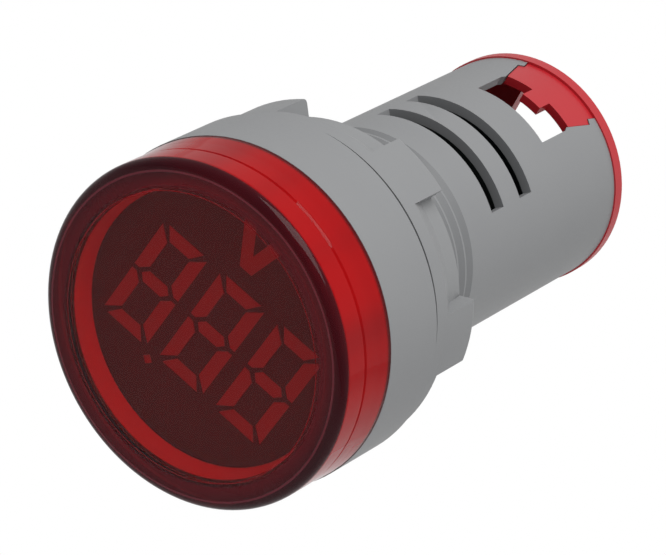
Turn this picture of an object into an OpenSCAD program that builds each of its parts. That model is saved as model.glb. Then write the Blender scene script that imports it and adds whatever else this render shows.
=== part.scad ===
// Round panel meter: a three-digit voltage display behind a red lens, held in a 22 mm panel
// hole by a lugged nut on the threaded barrel, with two wire terminals under the tail cap.
// The axis runs along Y. The panel's front surface is at y = 0, the lens faces -Y, the tail
// points to +Y, and the top of the digits points to +Z.

/* [Bezel] */
// Outer diameter of the bezel
bezel_d = 30.3; // [29.8:0.1:34]
// Length of the bezel in front of the panel
bezel_l = 7; // [6.4:0.1:12]
// Wall of the bezel around the lens spigot
bezel_wall = 1.5; // [1.2:0.1:1.7]
// Thickness of the shoulder that bears on the panel
shoulder_t = 1.4; // [1:0.1:2]
// Chamfer on the bezel's rear edge
bezel_edge = 0.3; // [0.1:0.1:0.8]

/* [Barrel] */
// Outer diameter of the barrel and of the thread's crests
barrel_d = 21; // [20.6:0.1:21.8]
// Length of the barrel behind the panel's front surface
barrel_l = 36.1; // [34:0.1:44]
// Wall of the smooth part of the barrel
barrel_wall = 0.9; // [0.7:0.1:1.2]
// Distance from one thread crest to the next
thread_pitch = 1.2; // [1.1:0.1:1.5]
// Depth of the thread's grooves
thread_depth = 0.5; // [0.2:0.05:0.5]
// Wall left inside the thread's grooves
thread_backing = 0.8; // [0.6:0.1:1]
// Where the thread runs out into the smooth barrel
thread_end = 12.5; // [11:0.1:13.5]
// Number of thread grooves
thread_turns = 10; // [4:1:10]

/* [Vents] */
// Width of a vent slot along the barrel
vent_w = 1.9; // [1:0.1:2.4]
// Where the front vent slot starts
vent_start = 16.5; // [15:0.1:18]
// Distance from one vent slot to the next
vent_pitch = 4.5; // [3.5:0.1:5]
// Number of vent slots on each side
vent_count = 2; // [1:1:2]
// Angle that a vent slot covers
vent_arc = 80; // [40:1:80]

/* [Wire notches] */
// Width of the open notch in the barrel's tail
notch_w = 7.7; // [6:0.1:8.4]
// Length of the notch from the barrel's rear end
notch_l = 8.7; // [7.5:0.1:9]
// Depth of the snap recess in each side of the notch
snap_depth = 0.5; // [0.3:0.05:0.8]
// Depth of the step in front of the snap recess
snap_step = 0.2; // [0.1:0.05:0.3]
// Length of the snap recess
snap_l = 3.7; // [3:0.1:4]
// Length of the hook left behind the snap recess
snap_hook = 0.9; // [0.7:0.1:1.4]

/* [Lens] */
// Height of the lens in front of the bezel
lens_l = 6.6; // [6:0.1:9]
// How far the lens rim stays inside the bezel's outline
lens_rim_in = 0.15; // [0.1:0.05:0.8]
// How far the lens skirt stays inside the bezel's outline
lens_skirt_in = 0.05; // [0:0.05:0.2]
// Length of the front rim, from the lens face back to the waist
lens_rim_l = 3.2; // [2.8:0.1:3.4]
// Depth of the waist between rim and skirt
lens_waist = 0.2; // [0.1:0.05:0.3]
// Radius of the rounded front edge
lens_round = 1; // [0.4:0.1:1.5]
// Thickness of the lens face
lens_face_t = 1.2; // [0.8:0.1:1.6]
// Length of the spigot that plugs into the bezel
lens_spigot_l = 2; // [1.2:0.1:2.6]
// Wall of the spigot
lens_wall = 0.8; // [0.6:0.1:1]

/* [Display] */
// Wall of the pale sleeve around the display
sleeve_wall = 0.65; // [0.5:0.05:0.8]
// Width of the bevel at the sleeve's front edge
sleeve_bevel = 0.4; // [0.1:0.05:0.4]
// Depth of the display face behind the lens face's inner side
face_depth = 1.8; // [1.2:0.1:2.6]
// Height of a digit
digit_h = 11.5; // [9:0.1:12]
// Width of a digit
digit_w = 5; // [4.6:0.1:5.4]
// Distance from one digit to the next
digit_pitch = 6.45; // [6.3:0.05:6.6]
// Number of digits
digit_count = 3; // [2:1:3]
// Width of one bar
stroke = 1.5; // [1:0.05:1.6]
// Gap between neighbouring bars
stroke_gap = 0.36; // [0.25:0.01:0.5]
// Lean of the digits to the right
slant = 7; // [0:1:10]
// Thickness of the light bars
bar_t = 0.6; // [0.4:0.1:1.2]
// Size of the square decimal point across its corners
point_d = 1.3; // [1:0.1:1.6]
// Height of the unit letter
letter_h = 4.2; // [3:0.1:4.4]
// Width of the unit letter across its top
letter_w = 4.6; // [4:0.1:5]
// Width of the unit letter's strokes
letter_stroke = 1.3; // [1:0.1:1.5]

/* [Nut and seal] */
// Outer diameter of the nut's flange and lugs
nut_d = 29.5; // [29:0.1:32]
// Length of the nut
nut_l = 5.9; // [5:0.1:7]
// Thickness of the nut's flange
nut_flange_t = 1.5; // [1:0.1:1.8]
// Diameter of the floor between the lugs
nut_floor_d = 26.2; // [25:0.1:27]
// Number of finger lugs
lug_count = 6; // [5:1:7]
// Angle that a lug covers
lug_arc = 22; // [16:1:24]
// Angle from the top to the middle of the first lug
lug_at = 11; // [0:1:59]
// Radius of the lugs' rounded rear corners
lug_round = 0.5; // [0.3:0.1:1]
// Thickness of the rubber seal
seal_t = 0.4; // [0.3:0.05:1]
// How far the rubber seal's edge lies inside the nut's flange
seal_in = 0.2; // [0:0.05:0.6]

/* [Terminals] */
// Distance from the axis to a terminal screw
terminal_x = 6.1; // [5.9:0.1:6.2]
// Diameter of the terminal screws' threads
screw_d = 3; // [2.5:0.1:3]
// Diameter of the terminal screws' heads
head_d = 4.7; // [4.4:0.1:4.9]
// Height of the terminal screws' heads
head_h = 2; // [1.6:0.1:2.4]
// Length of a terminal screw under its head
screw_l = 6; // [5.4:0.1:7]
// Thickness of the insulating terminal base
base_t = 2.2; // [1.8:0.1:2.8]
// Thickness of a terminal plate
tag_t = 0.8; // [0.6:0.1:1]
// Thickness of a wire clamp
clamp_t = 0.8; // [0.6:0.1:1]
// Width of the terminal plates and wire clamps
clamp_w = 5; // [4:0.1:5.4]

/* [Tail cap] */
// Diameter of the cap's rear flange
cap_d = 21.3; // [21.2:0.1:22]
// Thickness of the cap's rear flange and plate
cap_t = 1.3; // [1:0.1:2]
// Chamfer on the cap's rear edge
cap_edge = 0.2; // [0.1:0.05:0.4]
// Wall of the cap's skirt
cap_wall = 0.75; // [0.6:0.05:1]
// Length of the cap's skirt inside the barrel
cap_skirt_l = 1.5; // [1:0.1:2]
// Length of the keys that fill the wire notches, from the barrel's end
key_l = 4; // [3:0.1:4.3]
// Width of the tab in front of each key
tab_w = 2; // [1.4:0.1:3]
// Length of the tab in front of each key
tab_l = 1.6; // [1:0.1:2]
// Width of the wire windows in the rear plate
window_w = 6.4; // [5:0.1:6.8]
// Distance from the axis to the inner edge of a wire window
window_in = 3.1; // [2.8:0.1:3.4]
// Ledge left between a wire window and the cap's skirt
window_rim = 0.3; // [0.2:0.1:0.8]
// Diameter of the screwdriver holes in the rear plate
driver_hole_d = 4; // [3.6:0.1:4.2]
// Width of the rib between the terminals
rib_w = 5; // [3:0.1:5.4]
// Thickness of the rib between the terminals
rib_t = 1; // [0.8:0.1:1.4]

/* [Electronics] */
// Thickness of the display board
display_board_t = 1.6; // [1.2:0.1:1.8]
// Thickness of the power board
power_board_t = 1.2; // [1:0.1:1.6]
// Height of the power board's top surface above the axis
power_board_z = -2; // [-3:0.1:-1.6]
// Width of the power board
power_board_w = 16.6; // [15:0.1:16.8]
// Size of the film capacitor across, along and up
film_cap = [12, 5.5, 8.4];
// Diameter of the bulk capacitor
bulk_cap_d = 6.3; // [5:0.1:6.5]
// Length of the bulk capacitor
bulk_cap_l = 8.5; // [7:0.1:9]
// Size of the bridge rectifier across, along and up
rectifier = [5, 6, 2.4];
// Diameter of the surge suppressor's disc
surge_d = 7; // [5:0.1:7.4]
// Thickness of the surge suppressor's disc
surge_t = 3; // [2:0.1:3.4]
// Diameter of the fusible resistor
resistor_d = 2.4; // [1.8:0.1:2.8]
// Length of the fusible resistor
resistor_l = 6.5; // [5:0.1:7]
// Size of the driver chip across, along and up
chip = [9, 1.2, 3.9];
// Number of pins between the two boards
pin_count = 6; // [4:1:7]
// Distance from one pin to the next
pin_pitch = 2; // [1.5:0.1:2.1]
// Thickness of a pin
pin_t = 0.6; // [0.4:0.1:0.7]
// Height of the pins above the power board
pin_lift = 0.8; // [0.5:0.1:1]
// Length of the pins behind the middle of their plastic strip
pin_tail = 1.9; // [1.5:0.1:2.5]
// Length of the pins' plastic strip along the board
strip_l = 1.8; // [1.2:0.1:2]
// Height of the pins' plastic strip
strip_h = 2.2; // [1.9:0.1:2.5]

/* [Hidden] */
$fn = 96;

// Clearances between pieces
running = 0.05;
loose = 0.1;
eps = 0.01;

// Stations along the axis
lens_front = -bezel_l - lens_l;
lens_inner = lens_front + lens_face_t;
face_y = lens_inner + face_depth;
board_back = -shoulder_t;
board_front = board_back - display_board_t;
nut_front = seal_t;
nut_rear = nut_front + nut_l;
notch_start = barrel_l - notch_l;
base_rear = notch_start;
base_front = base_rear - base_t;
tag_rear = base_rear + tag_t;
clamp_rear = tag_rear + clamp_t;
cap_front = barrel_l - cap_skirt_l;

// Radii about the axis
barrel_r = barrel_d / 2;
barrel_bore_r = barrel_r - barrel_wall;
thread_bore_r = barrel_r - thread_depth - thread_backing;
bezel_bore_r = bezel_d / 2 - bezel_wall;
spigot_r = bezel_bore_r - loose;
well_r = spigot_r - lens_wall;
sleeve_r = well_r - loose;
sleeve_bore_r = sleeve_r - sleeve_wall;
face_r = sleeve_bore_r - running;
skirt_r = barrel_bore_r - running;
skirt_bore_r = skirt_r - cap_wall;
screw_r = screw_d / 2;

// Angle that each half of the cap's skirt covers, clear of the wire notches
skirt_arc = 120;

// Middle of the digits on the display face, and the space below the unit letter
digits_x = 0.45;
digits_z = -0.25;
letter_clear = 1.4;

// Power board and the parts on it
power_board_end = base_front;
power_board_under = power_board_z - power_board_t;
header_y = 1.2;
film_cap_y = 4.2;
rear_parts_y = film_cap_y + film_cap[1] + 0.6;

// Puts a piece drawn along Z on the object's axis: its +Z turns to +Y, and its -Y to +Z
module on_axis() {
    rotate([-90, 0, 0]) children();
}

// Inside on_axis, turns +X to an angle counted clockwise from the top, seen from the front
module clock(angle) {
    rotate([0, 0, angle - 90]) children();
}

// A ring about the axis between two stations
module ring(r_out, r_in, y0, y1) {
    on_axis()
    difference() {
        translate([0, 0, y0]) cylinder(h = y1 - y0, r = r_out);
        translate([0, 0, y0 - eps]) cylinder(h = y1 - y0 + 2 * eps, r = r_in);
    }
}

// A disc about the axis between two stations
module disc(r, y0, y1) {
    on_axis() translate([0, 0, y0]) cylinder(h = y1 - y0, r = r);
}

// A curved wall about a clock angle, between two radii and two stations
module sector(r_in, r_out, y0, y1, middle, arc) {
    on_axis() clock(middle - arc / 2) translate([0, 0, y0])
    rotate_extrude(angle = arc)
    translate([r_in, 0]) square([r_out - r_in, y1 - y0]);
}

// A box given by its middle in X, its first station in Y, its foot in Z, and its size
module box(x, y, z, size) {
    translate([x - size[0] / 2, y, z]) cube(size);
}

// A flat outline drawn in X and Z, with its back at one station and a thickness to the front
module on_face(y, thick) {
    translate([0, y, 0]) rotate([90, 0, 0]) linear_extrude(thick) children();
}

// ---- Housing: bezel, shoulder and barrel moulded in one piece ----

// The V grooves of the thread, cut as rings from the run-out towards the shoulder
module thread_grooves() {
    on_axis()
    rotate_extrude()
    for (turn = [0 : thread_turns - 1]) {
        root_y = thread_end - thread_depth - turn * thread_pitch;
        polygon([
            [barrel_r - thread_depth, root_y],
            [barrel_r + eps, root_y - thread_depth - eps],
            [barrel_r + eps, root_y + thread_depth + eps]
        ]);
    }
}

// Vent slots on one side of the barrel
module vents(side) {
    for (i = [0 : vent_count - 1]) {
        y0 = vent_start + i * vent_pitch;
        sector(barrel_bore_r - 1, barrel_r + 1, y0, y0 + vent_w, side, vent_arc);
    }
}

// One edge of a wire notch seen from above, from its closed end to the open one
function notch_edge(side, inset) =
    let (w = notch_w / 2 - inset, hook_y = barrel_l - snap_hook, step_y = hook_y - snap_l)
    [for (p = [
        [w, notch_start], [w, step_y - snap_step], [w - snap_step, step_y + snap_step],
        [w + snap_depth, hook_y - snap_step], [w, hook_y],
        [w + snap_step, barrel_l], [w + snap_step, barrel_l + 1]
    ]) [side * p[0], p[1]]];

// Outline of a wire notch: its right edge, then its left edge on the way back
module notch_outline(inset) {
    right = notch_edge(1, inset);
    left = notch_edge(-1, inset);
    last = len(left) - 1;
    polygon(concat(right, [for (i = [0 : last]) left[last - i]]));
}

// Wire notches through the wall at the top and at the bottom of the tail
module wire_notches() {
    for (side = [0, 180])
        rotate([0, side, 0])
        translate([0, 0, barrel_bore_r / 2])
        linear_extrude(barrel_r)
        notch_outline(0);
}

module housing() {
    color("#939598")
    difference() {
        on_axis()
        rotate_extrude()
        polygon([
            [bezel_bore_r, -bezel_l], [bezel_d / 2, -bezel_l],
            [bezel_d / 2, -bezel_edge], [bezel_d / 2 - bezel_edge, 0],
            [barrel_r, 0], [barrel_r, barrel_l], [barrel_bore_r, barrel_l],
            [barrel_bore_r, thread_end + 1], [thread_bore_r, thread_end],
            [thread_bore_r, -shoulder_t], [bezel_bore_r, -shoulder_t]
        ]);
        thread_grooves();
        vents(0);
        vents(180);
        wire_notches();
    }
}

// ---- Lens and display ----

// Section of the lens: face, rounded rim, waist, flared skirt and spigot
module lens_section() {
    rim_r = bezel_d / 2 - lens_rim_in;
    lens_skirt_r = bezel_d / 2 - lens_skirt_in;
    waist_y = lens_front + lens_rim_l;
    spigot_end = -bezel_l + lens_spigot_l;
    flare_y = waist_y + (-bezel_l - waist_y) / 2;
    polygon([
        [0, lens_front + lens_round], [rim_r, lens_front + lens_round],
        [rim_r, waist_y - lens_waist], [rim_r - lens_waist, waist_y],
        [rim_r - lens_waist / 4, waist_y + lens_waist], [lens_skirt_r - lens_waist / 2, flare_y],
        [lens_skirt_r, -bezel_l], [spigot_r, -bezel_l], [spigot_r, spigot_end],
        [well_r, spigot_end], [well_r, lens_inner], [0, lens_inner]
    ]);
    translate([0, lens_front]) square([rim_r - lens_round, lens_round + eps]);
    intersection() {
        translate([rim_r - lens_round, lens_front + lens_round]) circle(lens_round);
        translate([rim_r - lens_round - eps, lens_front]) square(lens_round + eps);
    }
}

module lens_cap() {
    color("#a3141c", 0.6)
    on_axis() rotate_extrude() lens_section();
}

// Pale sleeve between the lens face and the display board: it holds the board on the shoulder
module spacer_sleeve() {
    color("#c9c4c2")
    on_axis()
    rotate_extrude()
    polygon([
        [sleeve_bore_r + sleeve_bevel, lens_inner], [sleeve_r, lens_inner],
        [sleeve_r, board_front], [sleeve_bore_r, board_front], [sleeve_bore_r, face_y]
    ]);
}

// Leans a point of a digit to the right
function lean(p) = [p[0] + p[1] * tan(slant), p[1]];

// The seven bars of a digit, drawn about its middle
module digit(gap) {
    w = digit_w / 2;
    h = digit_h / 2;
    s = stroke;
    m = s / 2;
    g = gap / 2;
    for (flip = [1, -1]) {
        // Top and bottom bars
        polygon([for (p = [
            [-w + g * 2.4, h - g], [w - g * 2.4, h - g],
            [w - s + g * 0.4, h - s], [-w + s - g * 0.4, h - s]
        ]) lean(p * flip)]);
        // Upper bars on the left and, turned half way round, lower bars on the right
        polygon([for (p = [
            [-w, h - g * 2.4], [-w + s - g, h - s - g],
            [-w + s - g, m + g], [-w + m * 0.7, g], [-w, g]
        ]) lean(p * flip)]);
        // Lower bars on the left and, turned half way round, upper bars on the right
        polygon([for (p = [
            [-w, -h + g * 2.4], [-w + s - g, -h + s + g],
            [-w + s - g, -m - g], [-w + m * 0.7, -g], [-w, -g]
        ]) lean(p * flip)]);
    }
    // Middle bar
    polygon([for (p = [
        [-w + m + g, 0], [-w + s, m - g / 2], [w - s, m - g / 2],
        [w - m - g, 0], [w - s, -m + g / 2], [-w + s, -m + g / 2]
    ]) lean(p)]);
}

// The unit letter: two strokes that meet in a point below
module letter() {
    half = letter_w / 2;
    foot = letter_stroke / 2;
    polygon([
        [-foot, 0], [foot, 0], [half, letter_h], [half - letter_stroke, letter_h],
        [0, letter_stroke * 1.2], [-half + letter_stroke, letter_h], [-half, letter_h]
    ]);
}

// Everything that can light up, as one flat drawing
module light_drawing(gap) {
    foot_z = digits_z - digit_h / 2;
    for (i = [0 : digit_count - 1])
        translate([digits_x + (i - (digit_count - 1) / 2) * digit_pitch, digits_z]) digit(gap);
    translate([digits_x - digit_pitch / 2 + lean([0, -digit_h / 2])[0], foot_z - point_d / 2])
        rotate(45) square(point_d / sqrt(2) - gap / 2, center = true);
    translate([digits_x, digits_z + digit_h / 2 + letter_clear]) letter();
}

module display_case() {
    color("#2b2526")
    difference() {
        disc(face_r, face_y, board_front);
        on_face(face_y + bar_t, bar_t + 1) light_drawing(stroke_gap);
    }
}

module light_bars() {
    color("#8c2026")
    on_face(face_y + bar_t, bar_t) light_drawing(stroke_gap + 2 * running);
}

// ---- Electronics ----

module display_board() {
    color("#2f5d3a") disc(bezel_bore_r - loose, board_front, board_back);
}

module driver_chip() {
    color("#26272a") box(0, board_back, 1.6, chip);
}

// Pins from the display board along the top of the power board
module header_pins() {
    color("#d2c493")
    for (i = [0 : pin_count - 1])
        box((i - (pin_count - 1) / 2) * pin_pitch, board_back, power_board_z + pin_lift,
            [pin_t, header_y + pin_tail - board_back, pin_t]);
}

// Plastic strip that carries the pins on the power board
module header_block() {
    strip_w = (pin_count + 0.5) * pin_pitch;
    color("#26272a")
    difference() {
        box(0, header_y, power_board_z, [strip_w, strip_l, strip_h]);
        for (i = [0 : pin_count - 1])
            box((i - (pin_count - 1) / 2) * pin_pitch, header_y - 1, power_board_z + pin_lift - running,
                [pin_t + 2 * running, strip_l + 2, pin_t + 2 * running]);
    }
}

module power_board() {
    color("#2f5d3a")
    box(0, -shoulder_t, power_board_under, [power_board_w, power_board_end + shoulder_t, power_board_t]);
}

module film_capacitor() {
    color("#3b4a5c") box(0, film_cap_y, power_board_z, film_cap);
}

// Bulk capacitor lying along the board
module bulk_capacitor() {
    bulk_r = bulk_cap_d / 2;
    color("#2c3038")
    translate([-bulk_r - 0.8, 0, power_board_z + bulk_r])
    on_axis() translate([0, 0, rear_parts_y]) cylinder(h = bulk_cap_l, r = bulk_r);
}

module bridge_rectifier() {
    color("#26272a") box(rectifier[0] / 2 + 1, rear_parts_y, power_board_z, rectifier);
}

// Disc standing across the board behind the rectifier
module surge_suppressor() {
    color("#2f4f7a")
    translate([surge_d / 2 + 0.4, 0, power_board_z + surge_d / 2])
    on_axis() translate([0, 0, rear_parts_y + rectifier[1] + 0.5]) cylinder(h = surge_t, r = surge_d / 2);
}

// Resistor lying across the board near the terminals
module fusible_resistor() {
    color("#5f8f8a")
    translate([-resistor_l / 2 - 0.8, rear_parts_y + bulk_cap_l + 0.5 + resistor_d / 2,
        power_board_z + resistor_d / 2])
    rotate([0, 90, 0]) translate([0, 0, -resistor_l / 2]) cylinder(h = resistor_l, r = resistor_d / 2);
}

// ---- Terminals ----

// Puts a piece on the left or the right terminal's axis: side is -1 or 1
module at_terminal(side) {
    translate([side * terminal_x, 0, 0]) on_axis() children();
}

module terminal_base() {
    color("#33312f")
    difference() {
        disc(barrel_bore_r - running, base_front, base_rear);
        for (side = [-1, 1])
            at_terminal(side) translate([0, 0, base_front - 1]) cylinder(h = base_t + 2, r = screw_r + loose);
    }
}

// Outline shared by the terminal plates and the wire clamps
module terminal_blank(side, y0, thick, hole_r) {
    outer = barrel_bore_r - 0.35;
    inner_x = terminal_x - head_d / 2;
    difference() {
        intersection() {
            disc(outer, y0, y0 + thick);
            translate([side > 0 ? inner_x : -inner_x - outer, y0 - 1, -clamp_w / 2])
                cube([outer, thick + 2, clamp_w]);
        }
        at_terminal(side) translate([0, 0, y0 - 1]) cylinder(h = thick + 2, r = hole_r);
    }
}

module terminal_plates() {
    color("#c9a24b")
    for (side = [-1, 1]) terminal_blank(side, base_rear, tag_t, screw_r + running);
}

module wire_clamp(side) {
    color("#c2c4c6") terminal_blank(side, tag_rear, clamp_t, screw_r + running);
}

// Cheese-head screw with a straight slot across its head
module terminal_screw(side) {
    slot_w = 0.8;
    slot_deep = head_h / 2;
    color("#c2c4c6")
    at_terminal(side)
    difference() {
        union() {
            translate([0, 0, clamp_rear]) cylinder(h = head_h, r = head_d / 2);
            translate([0, 0, clamp_rear - screw_l]) cylinder(h = screw_l + eps, r = screw_r);
        }
        translate([-head_d, -slot_w / 2, clamp_rear + head_h - slot_deep])
            cube([2 * head_d, slot_w, slot_deep + 1]);
    }
}

// ---- Tail cap, seal and nut ----

// One wire window in the rear plate, at the top; side 180 puts it at the bottom
module wire_window(side) {
    rotate([0, side, 0])
    intersection() {
        translate([-window_w / 2, barrel_l - 1, window_in]) cube([window_w, cap_t + 2, barrel_r]);
        disc(skirt_bore_r - window_rim, barrel_l - 1, barrel_l + cap_t + 1);
    }
}

// Rear plate of the cap with a chamfered flange that covers the barrel's end
module cap_plate() {
    on_axis()
    rotate_extrude()
    polygon([
        [0, barrel_l], [cap_d / 2, barrel_l], [cap_d / 2, barrel_l + cap_t - cap_edge],
        [cap_d / 2 - cap_edge, barrel_l + cap_t], [0, barrel_l + cap_t]
    ]);
}

// Outline of a key seen from above: it follows the notch's edges and ends in a tab
module key_outline() {
    key_front = barrel_l - key_l;
    intersection() {
        notch_outline(loose);
        translate([-barrel_r, key_front]) square([barrel_d, key_l + cap_t / 2]);
    }
    translate([-tab_w / 2, key_front - tab_l]) square([tab_w, tab_l + 1]);
}

// Keys of the cap, flush with the barrel, that snap into the wire notches
module cap_keys() {
    intersection() {
        ring(barrel_r - loose, barrel_bore_r, barrel_l - key_l - tab_l, barrel_l + cap_t / 2);
        translate([0, 0, -barrel_r]) linear_extrude(barrel_d) key_outline();
    }
}

module tail_cap() {
    color("#c02a33")
    difference() {
        union() {
            cap_plate();
            cap_keys();
            for (side = [90, 270])
                sector(skirt_bore_r, skirt_r, cap_front, barrel_l + cap_t / 2, side, skirt_arc);
            box(0, clamp_rear, -rib_w / 2, [rib_t, barrel_l + cap_t / 2 - clamp_rear, rib_w]);
        }
        wire_window(0);
        wire_window(180);
        for (side = [-1, 1])
            at_terminal(side) translate([0, 0, barrel_l - 1]) cylinder(h = cap_t + 2, r = driver_hole_d / 2);
    }
}

module seal_ring() {
    color("#222324") ring(nut_d / 2 - seal_in, barrel_r + 0.3, 0, seal_t);
}

// Finger lug with a rounded rear corner, at a clock angle
module finger_lug(at) {
    foot_r = nut_floor_d / 2 - 1;
    high = nut_d / 2 - foot_r;
    long = nut_l - nut_flange_t / 2;
    on_axis() clock(at - lug_arc / 2) translate([0, 0, nut_front + nut_flange_t / 2])
    rotate_extrude(angle = lug_arc)
    translate([foot_r, 0])
    union() {
        square([high - lug_round, long]);
        square([high, long - lug_round]);
        translate([high - lug_round, long - lug_round]) circle(lug_round);
    }
}

// Nut with a thin flange and finger lugs; the floor between the lugs slopes off the flange
module nut() {
    slope_end = nut_front + nut_flange_t + (nut_d - nut_floor_d) / 2 * 1.5;
    floor_r = nut_floor_d / 2;
    color("#97999c")
    difference() {
        union() {
            on_axis()
            rotate_extrude()
            polygon([
                [barrel_r, nut_front], [nut_d / 2, nut_front],
                [nut_d / 2, nut_front + nut_flange_t], [floor_r + 0.2, slope_end],
                [floor_r, nut_rear], [barrel_r, nut_rear]
            ]);
            for (i = [0 : lug_count - 1]) finger_lug(lug_at + i * 360 / lug_count);
        }
        on_axis() translate([0, 0, nut_front - 1]) cylinder(h = nut_l + 2, r = barrel_r + running);
    }
}

housing();
lens_cap();
spacer_sleeve();
display_case();
light_bars();
display_board();
driver_chip();
header_pins();
header_block();
power_board();
film_capacitor();
bulk_capacitor();
bridge_rectifier();
surge_suppressor();
fusible_resistor();
terminal_base();
terminal_plates();
tail_cap();
seal_ring();
nut();
wire_clamp(-1);  // clamp_left
wire_clamp(1);  // clamp_right
terminal_screw(-1);  // screw_left
terminal_screw(1);  // screw_right
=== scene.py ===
import bpy
from mathutils import Matrix, Vector


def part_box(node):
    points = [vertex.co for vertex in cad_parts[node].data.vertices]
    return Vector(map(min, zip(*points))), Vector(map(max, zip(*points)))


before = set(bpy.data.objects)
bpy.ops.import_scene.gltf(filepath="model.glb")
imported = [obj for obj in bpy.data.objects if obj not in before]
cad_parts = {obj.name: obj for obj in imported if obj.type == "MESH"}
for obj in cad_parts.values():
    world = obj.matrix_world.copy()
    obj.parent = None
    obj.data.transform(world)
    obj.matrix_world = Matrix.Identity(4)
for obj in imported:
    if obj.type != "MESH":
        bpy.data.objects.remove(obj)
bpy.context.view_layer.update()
MM = 0.001

# The lens: its front face, the bezel's front that its skirt goes into, the edge of the clear
# window, and the moulded corner inside its rounded rim, where a pale highlight is painted
LENS_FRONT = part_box("lens_cap")[0][1]
LENS_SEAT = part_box("housing")[0][1]
LENS_WINDOW_R = 12.4 * MM
LENS_CORNER_HIGHLIGHT_R = 14.05 * MM

WHITE = (1, 1, 1, 1)


# ---- Small helpers ----

def srgb(code):
    """Linear colour of an sRGB hex value."""
    values = [int(code[i:i + 2], 16) / 255 for i in (1, 3, 5)]
    return [v / 12.92 if v <= 0.04045 else ((v + 0.055) / 1.055) ** 2.4 for v in values] + [1.0]


def add(tree, kind, settings=None, links=None):
    """A node with its settings, and links from other nodes' outputs into its inputs."""
    node = tree.nodes.new(kind)
    for key, value in (settings or {}).items():
        if isinstance(key, int) or key in node.inputs:
            node.inputs[key].default_value = value
        else:
            setattr(node, key, value)
    for key, output in (links or {}).items():
        tree.links.new(output, node.inputs[key])
    return node


def material(name, **surface):
    """A new material with a Principled surface, its node tree and its shader."""
    made = bpy.data.materials.new(name)
    made.use_nodes = True
    shader = made.node_tree.nodes["Principled BSDF"]
    for key, value in surface.items():
        shader.inputs[key.replace("_", " ").title().replace("Ior", "IOR")].default_value = value
    return made, made.node_tree, shader


def wear(node, made):
    """A CAD node takes this material in every slot."""
    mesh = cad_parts[node].data
    if not mesh.materials:
        mesh.materials.append(made)
    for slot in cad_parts[node].material_slots:
        slot.link = "OBJECT"
        slot.material = made


# ---- Plastics, resins, rubber and lacquer ----

CLOUD_SIZE = 9 * MM       # slow drift of tone where the melt cooled
GRAIN_SIZE = 0.25 * MM    # spark-eroded grain, drawn coarser than the real one so that it shows
GRAIN_HEIGHT = 0.02 * MM
PLASTIC_IOR = 1.53


def moulded(name, tone, fleck, rough, grain_depth=0.12):
    """A moulded or coated skin: an even colour, a faint cloud of tone, and a fine grain."""
    made, tree, shader = material(name, ior=PLASTIC_IOR)
    place = add(tree, "ShaderNodeTexCoord").outputs["Object"]
    cloud = add(tree, "ShaderNodeTexNoise", {"Scale": 1 / CLOUD_SIZE, "Detail": 3.0},
                {"Vector": place})
    colour = add(tree, "ShaderNodeMix", {"data_type": "RGBA", 6: srgb(tone), 7: srgb(fleck)},
                 {"Factor": cloud.outputs["Fac"]})
    tree.links.new(colour.outputs[2], shader.inputs["Base Color"])
    grain = add(tree, "ShaderNodeTexNoise", {"Scale": 1 / GRAIN_SIZE, "Detail": 2.0},
                {"Vector": place})
    sheen = add(tree, "ShaderNodeMapRange", {"To Min": rough - 0.05, "To Max": rough + 0.07},
                {"Value": grain.outputs["Fac"]})
    tree.links.new(sheen.outputs["Result"], shader.inputs["Roughness"])
    bump = add(tree, "ShaderNodeBump", {"Strength": grain_depth, "Distance": GRAIN_HEIGHT},
               {"Height": grain.outputs["Fac"]})
    tree.links.new(bump.outputs["Normal"], shader.inputs["Normal"])
    return made


# Grey ABS from a spark-eroded mould: satin, so edges carry a soft broad light and no mirror
grey_abs = moulded("grey_abs_satin", "#8f9091", "#898a8c", 0.45)
# Red ABS from a smoother mould: deep even red with a tighter highlight on its rim
red_abs = moulded("red_abs_semigloss", "#c4262f", "#b8222b", 0.34)
# Black phenolic resin, pressed: dull near-black with a slight brown warmth
black_phenolic = moulded("black_phenolic_moulded", "#2b2a29", "#232222", 0.5)
# Milky ABS that spreads light: pale and even, seen as the bright crescent round the display
pale_diffuser = moulded("pale_diffuser_moulded", "#e6dedc", "#ddd4d2", 0.5)
# Display face, screen printed in matt ink: flat and dark, with hardly any grain or glint
face_ink = moulded("display_face_printed", "#34272a", "#302326", 0.6, 0.02)
# Segment windows, cast in tinted epoxy: unlit, a dusty red a little brighter than the face
segment_epoxy = moulded("segment_diffusing_epoxy", "#8f4046", "#8a3c42", 0.5, 0.02)
# Nitrile rubber, moulded: black and almost without a highlight, so it reads as a thin line
nitrile = moulded("seal_nitrile_rubber", "#0d0d0e", "#0a0a0b", 0.8)
# Solder mask, a cured coat on the boards: dark green with a clear sheen
solder_mask = moulded("board_green_solder_mask", "#2a5a38", "#265233", 0.35)
# Polyester case of the film capacitor and sleeve of the can: dull blue, half glossy
capacitor_case = moulded("capacitor_case_blue", "#34506e", "#2f4a67", 0.4)
# Resistor lacquer, dipped: chalky teal with a soft edge to its highlight
resistor_lacquer = moulded("resistor_lacquer_teal", "#5f9089", "#578780", 0.45)


# ---- Metals ----

PATCH_SIZE = 0.6 * MM     # patches that plating and pressing leave in the shine


def plated(name, tone, rough):
    """Plated or pressed metal: bright, with a light break-up of the reflection."""
    made, tree, shader = material(name, metallic=1.0, base_color=srgb(tone))
    place = add(tree, "ShaderNodeTexCoord").outputs["Object"]
    patch = add(tree, "ShaderNodeTexNoise", {"Scale": 1 / PATCH_SIZE, "Detail": 4.0},
                {"Vector": place})
    sheen = add(tree, "ShaderNodeMapRange", {"To Min": rough - 0.08, "To Max": rough + 0.1},
                {"Value": patch.outputs["Fac"]})
    tree.links.new(sheen.outputs["Result"], shader.inputs["Roughness"])
    return made


# Zinc on steel, barrel plated: cool silver, slightly cloudy
zinc = plated("screw_zinc_plated_steel", "#c9cbce", 0.28)
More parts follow.
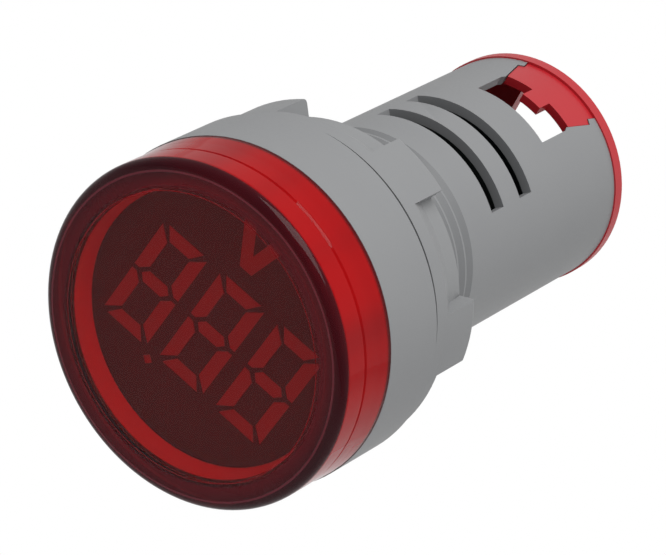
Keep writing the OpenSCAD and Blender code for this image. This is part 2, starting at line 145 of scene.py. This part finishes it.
# Brass sheet, pressed: warm yellow with a soft reflection
brass = plated("plate_pressed_brass", "#caa75a", 0.3)
# Tin on copper pins, dipped: bright with a warm tinge
tin = plated("pin_tinned_copper", "#d8d2bd", 0.3)


# ---- Lens ----

def clear_red_lens():
    """Red polycarbonate, polished in the mould: a clear window that turns what is behind it dark
    red, a thick rim so deep in colour that it looks nearly black, and a skirt behind the rim
    that is painted bright red to stand for the light piped into it."""
    # The IOR is under polycarbonate's own, so that no pale veil lies over the display
    made, tree, window = material("lens_red_polycarbonate_polished", ior=1.27, roughness=0.02,
                                  transmission_weight=1.0, base_color=srgb("#f4c8cc"))
    place = add(tree, "ShaderNodeSeparateXYZ", {},
                {0: add(tree, "ShaderNodeTexCoord").outputs["Object"]})
    across = add(tree, "ShaderNodeCombineXYZ", {},
                 {0: place.outputs["X"], 1: place.outputs["Z"]}).outputs[0]
    radius = add(tree, "ShaderNodeVectorMath", {"operation": "LENGTH"},
                 {0: across}).outputs["Value"]
    along = place.outputs["Y"]
    # Painted light: some stretches of the skirt, about 7 mm long, are painted brighter than others
    uneven_painted_light = add(tree, "ShaderNodeTexNoise", {"Scale": 1 / (7 * MM), "Detail": 1.0},
                 {"Vector": across}).outputs["Fac"]

    # Zones of the lens. Each goes smoothly from its low to its high value, from a start to an
    # end: of the distance from the axis, of the place along it, or of the uneven light
    zones = {
        "rim": (radius, LENS_WINDOW_R, LENS_WINDOW_R + 0.5 * MM, 0.0, 0.85),
        "edge_in": (radius, LENS_WINDOW_R - 0.08 * MM, LENS_WINDOW_R, 0.0, 0.75),
        "edge_out": (radius, LENS_WINDOW_R + 0.03 * MM, LENS_WINDOW_R + 0.11 * MM, 1.0, 0.0),
        "outward": (radius, LENS_WINDOW_R + 0.5 * MM, LENS_WINDOW_R + 2.2 * MM, 0.0, 1.0),
        "corner_highlight_in": (radius, LENS_CORNER_HIGHLIGHT_R - 0.15 * MM, LENS_CORNER_HIGHLIGHT_R - 0.03 * MM, 0.0, 1.0),
        "corner_highlight_out": (radius, LENS_CORNER_HIGHLIGHT_R + 0.03 * MM, LENS_CORNER_HIGHLIGHT_R + 0.15 * MM, 1.0, 0.0),
        "skirt": (along, LENS_FRONT + 0.7 * MM, LENS_FRONT + 1.0 * MM, 0.0, 1.0),
        "entry_painted_shade": (along, LENS_SEAT - 0.55 * MM, LENS_SEAT - 0.15 * MM, 0.0, 1.0),
        "painted_light_stretch": (uneven_painted_light, 0.4, 0.6, 0.0, 1.0),
    }
    zone = {}
    for name, (value, start, end, low, high) in zones.items():
        zone[name] = add(tree, "ShaderNodeMapRange",
                         {"interpolation_type": "SMOOTHSTEP", "From Min": start,
                          "From Max": end, "To Min": low, "To Max": high},
                         {"Value": value}).outputs["Result"]

    # Painted highlights: a thin red line where the corner of the well behind the window catches
    # light, and a fine pale line at the moulded corner inside the rim. The rim and the red line
    # cover the window
    edge = add(tree, "ShaderNodeMath", {"operation": "MULTIPLY"},
               {0: zone["edge_in"], 1: zone["edge_out"]}).outputs[0]
    corner = add(tree, "ShaderNodeMath", {"operation": "MULTIPLY"},
                 {0: zone["corner_highlight_in"], 1: zone["corner_highlight_out"]}).outputs[0]
    solid = add(tree, "ShaderNodeMath", {"operation": "MAXIMUM"},
                {0: zone["rim"], 1: edge}).outputs[0]

    # The rim darkens outward, and painted shade darkens the skirt where it enters the bezel
    depth_red = add(tree, "ShaderNodeMix",
                    {"data_type": "RGBA", 6: srgb("#620816"), 7: srgb("#380a14")},
                    {"Factor": zone["outward"]})
    lit_edge = add(tree, "ShaderNodeMix", {"data_type": "RGBA", 7: srgb("#a8141c")},
                   {"Factor": edge, 6: depth_red.outputs[2]})
    rim = add(tree, "ShaderNodeMix", {"data_type": "RGBA", 7: srgb("#74303a")},
              {"Factor": corner, 6: lit_edge.outputs[2]})
    # Painted light: the skirt's bright red, brighter on some stretches, stands for light piped
    # into it
    painted_skirt_light = add(tree, "ShaderNodeMix",
              {"data_type": "RGBA", 6: srgb("#b20409"), 7: srgb("#94080f")},
              {"Factor": zone["painted_light_stretch"]})
    skirt = add(tree, "ShaderNodeMix", {"data_type": "RGBA", 7: srgb("#5c060c")},
                {"Factor": zone["entry_painted_shade"], 6: painted_skirt_light.outputs[2]})
    tone = add(tree, "ShaderNodeMix", {"data_type": "RGBA"},
               {"Factor": zone["skirt"], 6: rim.outputs[2], 7: skirt.outputs[2]})
    glow = add(tree, "ShaderNodeBsdfPrincipled", {"IOR": 1.24, "Roughness": 0.04},
               {"Base Color": tone.outputs[2]})
    body = add(tree, "ShaderNodeMixShader", {},
               {0: solid, 1: window.outputs[0], 2: glow.outputs[0]})

    # The lamp shines through the lens on what is inside it
    path = add(tree, "ShaderNodeLightPath")
    clear = add(tree, "ShaderNodeBsdfTransparent", {"Color": srgb("#ec9aa0")})
    both = add(tree, "ShaderNodeMixShader", {},
               {0: path.outputs["Is Shadow Ray"], 1: body.outputs[0], 2: clear.outputs[0]})
    dye = add(tree, "ShaderNodeVolumeAbsorption",
              {"Color": (0.945, 0.04, 0.14, 1), "Density": 1.7 / MM})
    out = tree.nodes["Material Output"]
    tree.links.new(both.outputs[0], out.inputs["Surface"])
    tree.links.new(dye.outputs[0], out.inputs["Volume"])
    return made


for node, made in {
    "housing": grey_abs, "nut": grey_abs, "tail_cap": red_abs, "terminal_base": black_phenolic,
    "spacer_sleeve": pale_diffuser, "display_case": face_ink, "light_bars": segment_epoxy,
    "seal_ring": nitrile, "display_board": solder_mask, "power_board": solder_mask,
    "driver_chip": black_phenolic, "header_block": black_phenolic,
    "bridge_rectifier": black_phenolic, "film_capacitor": capacitor_case,
    "bulk_capacitor": capacitor_case, "surge_suppressor": capacitor_case,
    "fusible_resistor": resistor_lacquer, "header_pins": tin, "terminal_plates": brass,
    "clamp_left": zinc, "clamp_right": zinc, "screw_left": zinc, "screw_right": zinc,
    "lens_cap": clear_red_lens(),
}.items():
    wear(node, made)


# ---- Studio ----

FLOOR_DROP = 0.12    # the meter floats well above the white sweep, so its shadow stays soft
FLOOR_SIZE = 2.0


def stage_plane():
    """The floor: white to the camera and through the lens, and a plain pale board to the light."""
    bpy.ops.object.select_all(action="DESELECT")
    bpy.ops.mesh.primitive_plane_add(size=FLOOR_SIZE, location=(0, 0, -FLOOR_DROP))
    plane = bpy.context.object
    plane.name = "studio_floor"
    made = bpy.data.materials.new("floor_white_sweep")
    made.use_nodes = True
    tree = made.node_tree
    tree.nodes.clear()
    path = add(tree, "ShaderNodeLightPath")
    seen = add(tree, "ShaderNodeMath", {"operation": "MAXIMUM"},
               {0: path.outputs["Is Camera Ray"], 1: path.outputs["Is Transmission Ray"]})
    glow = add(tree, "ShaderNodeEmission", {"Color": WHITE, "Strength": 1.0})
    plain = add(tree, "ShaderNodeBsdfDiffuse", {"Color": srgb("#f0f0f0")})
    both = add(tree, "ShaderNodeMixShader", {},
               {0: seen.outputs[0], 1: plain.outputs[0], 2: glow.outputs[0]})
    add(tree, "ShaderNodeOutputMaterial", {}, {"Surface": both.outputs[0]})
    plane.data.materials.append(made)


def studio_world():
    """A white room, with more light from behind than from the side of the lens."""
    world = bpy.data.worlds.new("studio_white")
    bpy.context.scene.world = world
    world.use_nodes = True
    tree = world.node_tree
    tree.nodes.clear()
    toward = add(tree, "ShaderNodeSeparateXYZ", {},
                 {0: add(tree, "ShaderNodeTexCoord").outputs["Generated"]})
    rear_light = add(tree, "ShaderNodeMapRange",
                     {"interpolation_type": "SMOOTHSTEP", "From Min": -0.9, "From Max": 0.6,
                      "To Min": 0.26, "To Max": 0.62}, {"Value": toward.outputs["Y"]})
    around = add(tree, "ShaderNodeBackground", {"Color": WHITE},
                 {"Strength": rear_light.outputs["Result"]})
    plain_white = add(tree, "ShaderNodeBackground", {"Color": WHITE, "Strength": 1.0})
    path = add(tree, "ShaderNodeLightPath")
    seen = add(tree, "ShaderNodeMath", {"operation": "MAXIMUM"},
               {0: path.outputs["Is Camera Ray"], 1: path.outputs["Is Transmission Ray"]})
    mixed = add(tree, "ShaderNodeMixShader", {},
                {0: seen.outputs[0], 1: around.outputs[0], 2: plain_white.outputs[0]})
    add(tree, "ShaderNodeOutputWorld", {}, {"Surface": mixed.outputs[0]})


def soft_lamp(name, place, size, power, aim):
    """A square softbox that faces the meter."""
    data = bpy.data.lights.new(name, "AREA")
    data.shape = "SQUARE"
    data.size = size
    data.energy = power
    lamp = bpy.data.objects.new(name, data)
    bpy.context.collection.objects.link(lamp)
    lamp.location = place
    lamp.rotation_euler = (Vector(aim) - Vector(place)).to_track_quat("-Z", "Y").to_euler()


stage_plane()
studio_world()
soft_lamp("softbox_top", place=(0.05, -0.05, 0.5), size=0.4, power=1.95, aim=(0, 0.01, 0))


# ---- Camera ----

# It looks down on the lens, and is rolled so that the barrel runs up to the right. CAMERA_RIGHT
# and CAMERA_UP are the directions in which the picture's right and top lie
CAMERA_PLACE = (0.08993, -0.23368, 0.17684)
CAMERA_RIGHT = Vector((0.7210, 0.5647, 0.4016))
CAMERA_UP = Vector((-0.6311, 0.2959, 0.7170))
LENS_LENGTH = 198.75
SENSOR_WIDTH = 36

camera_data = bpy.data.cameras.new("camera")
camera_data.lens = LENS_LENGTH
camera_data.sensor_width = SENSOR_WIDTH
camera_data.clip_start = 10 * MM
camera = bpy.data.objects.new("camera", camera_data)
bpy.context.collection.objects.link(camera)
right = CAMERA_RIGHT.normalized()
up = (CAMERA_UP - right * CAMERA_UP.dot(right)).normalized()
back = right.cross(up)
camera.matrix_world = Matrix((
    (right.x, up.x, back.x, CAMERA_PLACE[0]),
    (right.y, up.y, back.y, CAMERA_PLACE[1]),
    (right.z, up.z, back.z, CAMERA_PLACE[2]),
    (0, 0, 0, 1)))
bpy.context.scene.camera = camera

bpy.context.scene.view_settings.view_transform = "Standard"
